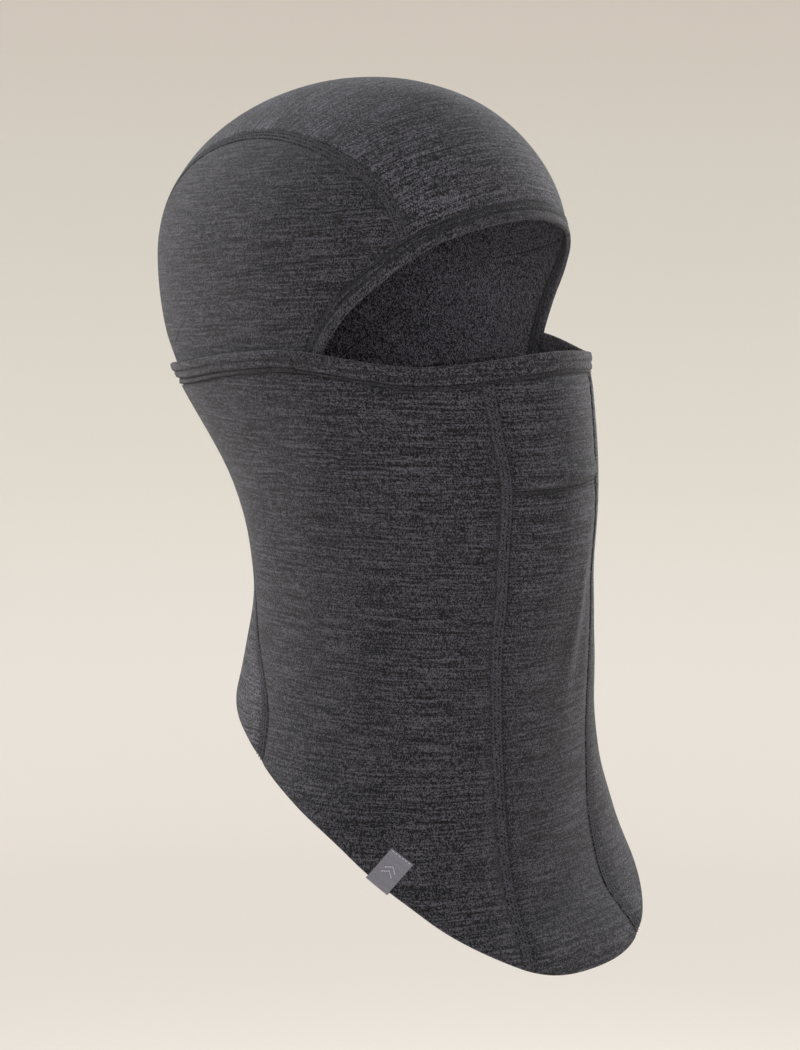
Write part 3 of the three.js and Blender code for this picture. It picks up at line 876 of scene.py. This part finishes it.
def zigzag(name, path, height, swing, material, pitch=1.5, thick=0.30):
    """A looper thread that runs along a path, swinging to and fro across it."""
    steps = max(2, int(gaps(path[None], 1)[0, -1] // pitch)) * 8 + 1
    centre = resample(path, steps)
    phase = np.arange(steps) * math.pi / 4
    core = on_body(centre + left_of(centre) * (swing * np.sin(phase))[:, None])
    normals = normal_at(core)
    level = height + 0.10 * np.cos(2 * phase)
    core = core + normals * (level + drape_of(core))[:, None]
    radius = np.full((1, steps), thick / 2)
    return tubes(name, core[None], normals[None], radius, LOOPER_SIDES, material)


def join(name, objects):
    """One object from several, keeping their materials."""
    bpy.ops.object.select_all(action="DESELECT")
    for obj in objects:
        obj.select_set(True)
    bpy.context.view_layer.objects.active = objects[0]
    bpy.ops.object.join()
    objects[0].name = name
    return objects[0]


def flatlock(name, band, columns, layer, inside_with_painted_light):
    """A flatlock seam: a band of cloth under three columns of looper thread."""
    inner, outer = layer
    lift = drape_of(band.points)
    groove = 0.22 * np.cos((band.left - band.right) / 2 * 2 * math.pi / FLATLOCK_COLUMNS[-1])
    edge = np.clip(1 - band.edge(("left", "right")) / 0.5, 0, 1)
    face = outer + lift - 0.25 + groove - 0.3 * edge
    parts = [cloth(name, band, inner + lift, face, [SEAM_KNIT, inside_with_painted_light])]
    for path in columns:
        parts.append(zigzag(f"{name}_looper", path, outer + 0.02, FLATLOCK_SWING, SEAM_THREAD))
    return join(name, parts)


# ---- camera, light and floor ----


def place(obj, azimuth, elevation, distance):
    """Puts a camera or light at a distance from the aim point, looking at it."""
    a, e = math.radians(azimuth), math.radians(elevation)
    back = np.array([math.sin(a) * math.cos(e), -math.cos(a) * math.cos(e), math.sin(e)])
    obj.location = AIM + distance * back
    obj.rotation_euler = (math.pi / 2 - e, 0, a)
    bpy.context.scene.collection.objects.link(obj)


def place_camera():
    data = bpy.data.cameras.new("camera")
    data.lens = CAMERA_LENS
    data.sensor_width = 36
    camera = bpy.data.objects.new("camera", data)
    place(camera, CAMERA_AZIMUTH, CAMERA_ELEVATION, CAMERA_DISTANCE)
    bpy.context.scene.camera = camera


def soft_box(name, azimuth, elevation, distance, power, spread):
    data = bpy.data.lights.new(name, "AREA")
    data.shape = "SQUARE"
    data.size = BOX_SIZE
    data.energy = power
    data.spread = math.radians(spread)
    place(bpy.data.objects.new(name, data), azimuth, elevation, distance)


def backdrop():
    """A pale floor that sweeps up all round, like a studio's curved backdrop, with a painted glow that
    is lighter low down and darker higher up.
    """
    base = cad_low.z - FLOOR_DROP
    turn = np.linspace(0, math.pi / 2, SWEEP_RINGS)
    radius = np.concatenate([FLOOR_RADII, SWEEP_START + SWEEP_RADIUS * np.sin(turn)])[:, None, None]
    height = np.concatenate([[0, 0], SWEEP_RADIUS * (1 - np.cos(turn))])[:, None, None] + base
    a = np.arange(SWEEP_SIDES) * 2 * math.pi / SWEEP_SIDES
    ring = np.stack([np.cos(a), np.sin(a)], -1)[None]
    points = np.concatenate([ring * radius, 0 * ring[..., :1] + height], -1)
    index = np.arange(points.shape[0] * SWEEP_SIDES).reshape(-1, SWEEP_SIDES)
    faces = ring_faces(index)[:, ::-1]
    mesh = bpy.data.meshes.new("floor")
    mesh.from_pydata(points.reshape(-1, 3).tolist(), [], faces.tolist() + [index[0].tolist()])
    mesh.polygons.foreach_set("use_smooth", [True] * len(mesh.polygons))
    n = Nodes("pale_floor")
    where = n.add("ShaderNodeTexCoord", output=3)
    level = n.split(where)[2]
    glow = (*BACKDROP_GLOW[0][1], 1)
    for (below, _), (above, color) in zip(BACKDROP_GLOW, BACKDROP_GLOW[1:]):
        height_range = {"Value": level, "From Min": below, "From Max": above}
        glow = n.mix(n.add("ShaderNodeMapRange", height_range), glow, (*color, 1))
    mottle = n.add("ShaderNodeTexNoise", {"Vector": where, "Scale": 2.0, "Detail": 1.0})
    tone = n.mix(n.math("MULTIPLY", mottle, 0.05), BACKDROP_PAINT, BACKDROP_MOTTLE)
    # Painted light: the floor and backdrop glow by height.
    n.feed(n.shader.inputs["Emission Color"], glow)
    mesh.materials.append(n.surface(tone, 0.9, Emission_Strength=1.0))
    floor = bpy.data.objects.new("floor", mesh)
    bpy.context.scene.collection.objects.link(floor)


def studio():
    """Even pale surroundings and soft boxes in front, behind on both sides and above."""
    world = bpy.data.worlds.new("studio")
    world.use_nodes = True
    background = world.node_tree.nodes["Background"]
    background.inputs[0].default_value = (1, 1, 1, 1)
    background.inputs[1].default_value = WORLD_STRENGTH
    bpy.context.scene.world = world
    backdrop()
    for box in SOFT_BOXES:
        soft_box(*box)


bpy.context.scene.view_settings.view_transform = "Standard"
place_camera()
studio()

# ---- hood ----


def nape_angle():
    """Angle at which the left crown seam goes under the gaiter's top edge."""
    return float(angle_of(part_of(crown_path["left"], crown_tuck, 1, 2))[0])


def crown_knit():
    """The crown strip of the hood, filled between its four sides."""
    nape = nape_angle()
    short, long = CROWN_OUTLINE
    sides = inset_sides(
        [
            (part_of(brow_path, 1 - brow_seam, brow_seam, short), 0),
            (part_of(crown_path["left"], 0, crown_tuck, long), SEAM_ROOM),
            (tucked_edge(nape, 360 - nape, short), 0),
            (part_of(crown_path["right"], crown_tuck, 0, long), SEAM_ROOM),
        ]
    )
    u, v = (spaced(size, PANEL_CELL) for size in CROWN_GRID)

    def regular(k, shares, turn=1):
        line = np.vstack([sides[k], sides[(k + 1) % 4][:1]])[::turn]
        return points_at(shares * (len(line) - 1), np.arange(len(line)), line)

    low, high = regular(0, u), regular(2, u, -1)
    left, right = regular(3, v, -1), regular(1, v)
    uu, vv = u[None, :, None], v[:, None, None]
    ruled = (1 - vv) * low[None] + vv * high[None] + (1 - uu) * left[:, None] + uu * right[:, None]
    near = (1 - uu) * low[0] + uu * low[-1]
    far = (1 - uu) * high[0] + uu * high[-1]
    grid = Grid(on_body(ruled - (1 - vv) * near - vv * far))
    grid.uv[..., 1] = grid.low.mean(axis=1, keepdims=True)
    inner, outer = HOOD_LAYER
    seams = ("left", "right", "low")
    held = grid.edge(seams)
    rise = 0.5 * (1 - np.exp(-held / 16)) + hood_drape(grid.points) * (1 - np.exp(-held / 8))
    calm = smooth((grid.high - TUCK_DEPTH - 2) / 10)
    gathers = pucker(grid, seams) - sum(seam_dip(getattr(grid, side), 0.3) for side in seams)
    # Painted shade beside the crown seams, and more along the binding.
    shade = seam_shade(grid.edge(("left", "right")), 0.15) + seam_shade(grid.low)
    inner = inner + np.maximum(rise, HOOD_SINK) * calm
    outer = outer + (rise + gathers) * calm
    # The crown strip uses the lighter copy of the knit: painted light from above.
    return cloth("crown_knit", grid, inner, outer, [PAINTED_LIGHT_KNIT, PAINTED_LIGHT_HOOD_LINING], shade)


def hood_side_knit(side):
    """A side panel of the hood, filled by rings that shrink towards its middle."""
    sign = SIDES[side]
    temple = float(angle_of(part_of(brow_path, brow_tuck, 1, 2))[0])
    sides = inset_sides(
        [
            (part_of(brow_path, brow_tuck, brow_seam, SIDE_OUTLINE[0]), 0),
            (part_of(crown_path["left"], 0, crown_tuck, SIDE_OUTLINE[1]), -SEAM_ROOM),
            (tucked_edge(nape_angle(), temple, SIDE_OUTLINE[2]), 0),
        ]
    )
    outline = np.vstack(sides)[::-1]
    sewn = np.repeat([1, 1, 0], [len(points) for points in sides])[::-1]
    if side == "right":
        outline, sewn = (outline * MIRROR)[::-1], sewn[::-1]
    middle = SIDE_MIDDLE * (sign, 1, 1)
    shares = 1 - spaced(SIDE_REACH, PANEL_CELL)[: math.ceil(SIDE_REACH / PANEL_CELL)]
    shares = shares[shares > 0.03]
    rings = middle + shares[:, None, None] * (outline - middle)
    points = on_body(np.vstack([rings.reshape(-1, 3), middle[None]]))
    index = np.arange(rings.shape[0] * rings.shape[1]).reshape(rings.shape[:2])
    last, hub = index[-1], len(points) - 1
    tip = np.stack([last, np.roll(last, -1), np.full(len(last), hub)], -1)
    inwards = np.append(gaps(rings, 0).ravel(), 60.0)
    held = np.append(np.tile(sewn, len(shares)), 0)
    rise = 0.6 * (1 - np.exp(-inwards / 16)) + hood_drape(points) * (1 - np.exp(-inwards / 8))
    calm = smooth((points[:, 2] - hem_top(angle_of(points)) - 1) / 12)
    inner, outer = HOOD_LAYER
    low = inner + np.maximum(rise, HOOD_SINK) * calm
    high = outer + (rise - held * seam_dip(inwards, 0.3)) * calm
    across = np.radians(angle_of(points)) * HOOD_KNIT_RADIUS
    z = points[:, 2]
    over = np.arcsin(np.clip(z / DOME_HEIGHT, 0, 1)) * KNIT_RADIUS
    uv = np.stack([across, np.where(z > 0, over, z) + HOOD_KNIT_SLOPE * sign * across], -1)
    surface = points, ring_faces(index).tolist() + tip.tolist(), index[0]
    heights = low, low + (high - low) * rounded(inwards)
    # Painted shade beside the panel's sewn sides.
    shade = held * seam_shade(inwards, 0.2)
    return layer_object(f"{side}_side_knit", *surface, *heights, uv, [KNIT, PAINTED_LIGHT_HOOD_LINING], shade)


def binding_height(grid):
    """Outer face of the folded binding: rolled at the opening, drawn in at each stitch row."""
    outer = BINDING_LAYER[1]
    across = grid.low
    height = outer - 0.25 + 0.35 * bump(across - 6.2, 1.9)
    for at in BINDING_STITCH_AT:
        height = height - 0.55 * bump(across - at, 0.5)
    height = height - 0.5 * bump(across, 0.55)
    return height + 0.05 * np.sin(grid.left * 2 * math.pi / STITCH_PITCH) * bump(across - 2, 2.4)


def brow_roll():
    """The folded binding round the eye opening."""
    path = part_of(brow_path, brow_tuck, 1 - brow_tuck, 330)
    grid = strip_grid(path, -SEAM_LAP, BINDING_WIDTH, HEM_CELL)
    inner = BINDING_LAYER[0] + rolled_in(grid.high)
    # Painted shade along both stitch rows and where the binding meets the hood panels.
    shade = 0.8 * sum(bump(grid.low - at, 0.55) for at in BINDING_STITCH_AT) + seam_shade(grid.low)
    return cloth("brow_roll", grid, inner, binding_height(grid), [TAPE, PAINTED_LIGHT_LINING], shade)


def brow_stitching(row):
    """One of the two rows of stitches along the binding."""
    start = share_below_hem(brow_path, -2, 0.5, 0)
    path = part_of(brow_path, start, 1 - start, 500)
    path = on_body(path + BINDING_STITCH_AT[row] * left_of(path))
    return stitches(f"brow_stitching_{row + 1}", path, BINDING_LAYER[1] - 0.36, DARK_THREAD)


def stand_for(node):
    """Hides the CAD node whose place a piece takes."""
    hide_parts(node)


crown = crown_knit()
side_knit = {side: hood_side_knit(side) for side in SIDES}
brow = brow_roll()
stand_for("crown_panel")
stand_for("brow_binding")
hood_pieces = [crown, brow]
for row in range(2):
    piece = brow_stitching(row)
    stand_for(f"brow_stitch_row_{row + 1}")
    hood_pieces.append(piece)
for side in SIDES:
    path = part_of(crown_path[side], CROWN_SEAM_START, crown_tuck, 420)
    band = turned(strip_grid(path, -SEAM_WIDTH / 2, SEAM_WIDTH / 2, SEAM_CELL))
    dry = path[path[:, 2] > hem_top(angle_of(path)) - 1]
    columns = [on_body(dry + reach * left_of(dry)) for reach in FLATLOCK_COLUMNS]
    seam = flatlock(f"{side}_crown_flatlock", band, columns, HOOD_LAYER, PAINTED_LIGHT_HOOD_LINING)
    stand_for(f"{side}_crown_seam")
    stand_for(f"{side}_hood_panel")
    hood_pieces += [seam, side_knit[side]]
for piece in hood_pieces:
    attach(piece, "garment")

# ---- gaiter ----


def panel_top(angle):
    """Height of the panels' top edge, just inside the hem."""
    return hem_foot(angle) + SEAM_LAP


def front_grid(low, high):
    """A grid between the two front seams."""
    edges = beside(FRONT_SEAM, -1, SEAM_ROOM), beside(FRONT_SEAM, 1, -SEAM_ROOM)
    return wrap(*edges, low, high, PANEL_CELL)


def mouth_knit():
    """The panel over nose and mouth, which rolls out above its seam."""
    grid = front_grid(lambda a: -MOUTH_SEAM_LEVEL + MOUTH_SEAM_ROOM + 0 * a, panel_top)
    roll = 2.2 * bump(grid.low - 3.5, 6) * (1 - np.exp(-grid.edge(("left", "right")) / 6))
    roll = roll * smooth(grid.low / 2.5)
    return gaiter_panel("mouth_knit", grid, [KNIT, PAINTED_LIGHT_LINING], ALL_SIDES, 0.4, roll)


def chest_knit():
    grid = front_grid(bottom, lambda a: -MOUTH_SEAM_LEVEL - MOUTH_SEAM_ROOM + 0 * a)
    return gaiter_panel("chest_knit", grid, [KNIT, PAINTED_LIGHT_LINING], ALL_BUT_LOW)


def neck_knit(side):
    sign = SIDES[side]
    front = beside(FRONT_SEAM, sign, sign * SEAM_ROOM)
    back = beside(BACK_SEAM, sign, -sign * SEAM_ROOM)
    edges = (front, back)[::sign]
    grid = wrap(*edges, bottom, panel_top, PANEL_CELL)
    return gaiter_panel(f"{side}_neck_knit", grid, [KNIT, PAINTED_LIGHT_LINING], ALL_BUT_LOW)


def nape_knit():
    start, end = (beside(BACK_SEAM, sign, sign * SEAM_ROOM) for sign in SIDES.values())
    grid = wrap(start, lambda z: 360 + end(z), bottom, panel_top, PANEL_CELL)
    # The nape panel uses the lighter copy of the knit: painted light on the back.
    return gaiter_panel("nape_knit", grid, [PAINTED_LIGHT_KNIT, PAINTED_LIGHT_LINING], ALL_BUT_LOW)


def vertical_seam(name, line, side):
    """A flatlock seam down the gaiter along a seam line."""
    half = SEAM_WIDTH / 2
    edges = beside(line, side, -half), beside(line, side, half)
    band = wrap(*edges, bottom, panel_top, SEAM_CELL, upward=np.linspace(0, 1, 130))
    columns = []
    for reach in FLATLOCK_COLUMNS:
        angle = beside(line, side, reach)
        top = float(panel_top(angle(SEAM_TOP))) - LOOPER_INSET[0]
        z = np.linspace(top, SEAM_FOOT, 1500)
        z = z[z > bottom(angle(z)) + LOOPER_INSET[1]]
        columns.append(resample(around(angle(z), z), 500)[::-1])
    return flatlock(name, band, columns, GAITER_LAYER, PAINTED_LIGHT_LINING)


def mouth_seam():
    """The plain seam between the mouth and chest panels, sunk below them."""
    edge = beside(FRONT_SEAM, 1, -SEAM_ROOM)(-float(MOUTH_SEAM_LEVEL))
    angle = np.linspace(-edge, edge, 160)
    path = around(angle, -MOUTH_SEAM_LEVEL + 0 * angle)
    reach = MOUTH_SEAM_ROOM + SEAM_LAP
    grid = strip_grid(path, -reach, reach, 0.35)
    inner, outer = GAITER_LAYER
    lift = drape_of(grid.points)
    materials = [SEAM_KNIT, PAINTED_LIGHT_LINING]
    # Painted shade: the join's cloth is darkened throughout for the shade in its crease.
    base = cloth("mouth_join", grid, inner + lift, outer + lift - 0.6, materials, MOUTH_SEAM_SHADE)
    height = outer - 0.45 + drape_of(path)
    row = stitches("mouth_join_thread", path, height, DARK_THREAD, pitch=2.2, gap=0.5, thick=0.36)
    return join("mouth_join", [base, row])


def hem_height(grid, rows):
    """Outer face of a doubled hem: a rolled edge, drawn in along its stitch rows."""
    down = grid.high
    height = HEM_LAYER[1] - 0.25 + 0.35 * bump(down - 2.2, 1.7) - 0.2 * smooth((down - 4) / 5)
    height = height - 0.5 * bump(down - rows[0], 0.5) - bump(down - rows[1], 0.7)
    height = height - 0.6 * bump(grid.low, 0.4)
    wave = 0.05 * np.sin(grid.left * 2 * math.pi / STITCH_PITCH)
    return height + wave + 0.12 * ripple(grid.points, 30, 21)


def top_hem(name, start, end, rows):
    """A part of the gaiter's doubled top edge between two angles."""
    columns = np.linspace(0, 1, math.ceil((end - start) * MM_PER_DEGREE / STRIP_CELL))
    upward = spaced(HEM_WIDTH, HEM_CELL)
    ends = (lambda z: start + 0 * z, lambda z: end + 0 * z)
    grid = wrap(*ends, hem_foot, hem_top, STRIP_CELL, across=columns, upward=upward)
    inner, outer = HEM_LAYER[0] + rolled_in(grid.high), hem_height(grid, rows)
    # Painted shade along the two stitch rows and where the hem meets the panels below.
    shade = 0.5 * bump(grid.high - rows[0], 0.5) + seam_shade(grid.low)
    shade = shade + 0.9 * bump(grid.high - rows[1], 0.5)
    return cloth(name, grid, inner, outer, [TAPE, PAINTED_LIGHT_LINING], shade, ("low", "high"))


def hem_stitching(name, start, end, down, drop):
    """A row of coverstitch along the hem, a distance below its top edge and sunk into it."""
    angle = np.linspace(start + 0.4, end - 0.4, 700)
    path = around(angle, hem_top(angle) - down)
    return stitches(name, path, HEM_LAYER[1] - drop, DARK_THREAD, gap=0.6, thick=0.40)


mouth, chest, nape = mouth_knit(), chest_knit(), nape_knit()
neck = {side: neck_knit(side) for side in SIDES}
mask_followers = [mouth, chest, neck["left"], neck["right"]]
garment_followers = [nape]
stand_for("mouth_panel")
stand_for("chest_panel")
stand_for("nape_panel")
hems = {}
for part, start, end, rows, followers in (
    ("mask", -HEM_END_ANGLE, HEM_END_ANGLE, HEM_STITCH_AT, mask_followers),
    ("nape", HEM_END_ANGLE, 360 - HEM_END_ANGLE, NAPE_STITCH_AT, garment_followers),
):
    start, end = start + HEM_END_GAP, end - HEM_END_GAP
    hems[part] = top_hem(f"{part}_top_hem", start, end, rows)
    stand_for(f"{part}_hem")
    followers.append(hems[part])
    for row, drop in enumerate(HEM_STITCH_DROP):
        name = f"{part}_hem_stitching_{row + 1}"
        piece = hem_stitching(name, start, end, rows[row], drop)
        stand_for(f"{part}_stitch_row_{row + 1}")
        followers.append(piece)
join_row = mouth_seam()
stand_for("mouth_seam")
mask_followers.append(join_row)
for side, sign in SIDES.items():
    stand_for(f"{side}_neck_panel")
    for part, line, followers in (
        ("front", FRONT_SEAM, mask_followers),
        ("back", BACK_SEAM, garment_followers),
    ):
        seam = vertical_seam(f"{side}_{part}_flatlock", line, sign)
        stand_for(f"{side}_{part}_seam")
        followers.append(seam)
for piece in garment_followers:
    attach(piece, "garment")
for piece in mask_followers:
    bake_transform(piece)

# ---- label ----


def label_point(along, up, out):
    """Points at distances from the label's foot: along the edge, up from it and out."""
    foot = around(LABEL_ANGLE, bottom(np.array(LABEL_ANGLE)))
    after = around(LABEL_ANGLE + 1, bottom(np.array(LABEL_ANGLE + 1)))
    edge = unit(after - foot)
    rise = unit(np.cross(normal_at(foot), edge))
    along, up, out = np.broadcast_arrays(along, up, out)
    p = on_body(foot + along[..., None] * edge + up[..., None] * rise)
    return p + normal_at(p) * (out + drape(p) + LABEL_LIFT)[..., None]


def label():
    """A folded tape round the bottom edge: up the outside, round the edge and up the inside."""
    inner, outer = GAITER_LAYER
    outside, inside = outer + LABEL_GAP, inner - LABEL_GAP
    thick = LABEL_THICKNESS
    middle, radius = (outside + inside) / 2, (outside - inside) / 2 + thick

    def arc(radius, turns):
        return [(LABEL_FOLD - 0.8 * radius * math.sin(t), middle + radius * math.cos(t)) for t in turns]

    down = np.linspace(0, LABEL_LENGTH, 26)
    run = [(LABEL_LENGTH - s, outside + 0.12 * math.sin(s * 1.9)) for s in down]
    front = [(up, out + thick) for up, out in run]
    behind = [(up, inside - thick) for up in np.linspace(0.5, LABEL_LENGTH, 20)]
    behind_in = [(up, inside) for up in np.linspace(LABEL_LENGTH, 0.5, 20)]
    turns = np.linspace(0, math.pi, 12)
    profile = front + arc(radius, turns) + behind + behind_in
    profile = np.array(profile + arc(radius - thick, turns[::-1]) + run[::-1])
    half = LABEL_WIDTH / 2
    along = np.concatenate([[-half], np.linspace(-half + 0.15, half - 0.15, 14), [half]])
    points = label_point(along[:, None], profile[None, :, 0], profile[None, :, 1])
    index = np.arange(points.shape[0] * points.shape[1]).reshape(points.shape[:2])
    faces = ring_faces(index).tolist() + end_caps(index)
    uv = np.broadcast_arrays(along[:, None], gaps(profile[None], 1))
    uv = np.stack(uv, -1).reshape(-1, 2)
    return object_from("hem_label_tape", points.reshape(-1, 3), faces, [LABEL_TAPE], uv)


def end_caps(index):
    """Closes both ends of the label with quads between its outer and inner runs."""
    size = index.shape[1]
    caps = []
    for k in range(size // 2 - 1):
        quad = [k, k + 1, size - 2 - k, size - 1 - k]
        caps += [index[0, quad].tolist(), index[-1, quad[::-1]].tolist()]
    return caps


def label_stitches(name, along, up, height, pitch, gap, thick):
    """Stitches through the label's outer face, a height above it."""
    path = on_body(label_point(along, up, 0 * along))
    face = GAITER_LAYER[1] + LABEL_THICKNESS + LABEL_GAP + LABEL_LIFT
    return stitches(name, path, face + height + drape(path), PALE_THREAD, pitch, gap, thick)


def label_thread_row():
    reach = LABEL_WIDTH / 2 - 0.7
    along = np.linspace(-reach, reach, 60)
    up = np.full(60, LABEL_LENGTH - 1.0)
    return label_stitches("label_stitching_thread", along, up, 0.14, 1.5, 0.45, 0.30)


def label_mark():
    """Two plain stitched chevrons on the label."""
    across = np.linspace(-2.6, 2.6, 41)
    parts = []
    for level in (5.2, 7.4):
        up = level + 1.5 - np.abs(across) * 0.75
        parts.append(label_stitches("mark", across, up, 0.16, 0.9, 0.08, 0.42))
    return join("label_mark", parts)


tag = label()
stand_for("hem_label")
tag_thread = label_thread_row()
stand_for("label_stitching")
mark = label_mark()
for piece in (tag, tag_thread, mark):
    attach(piece, "garment")
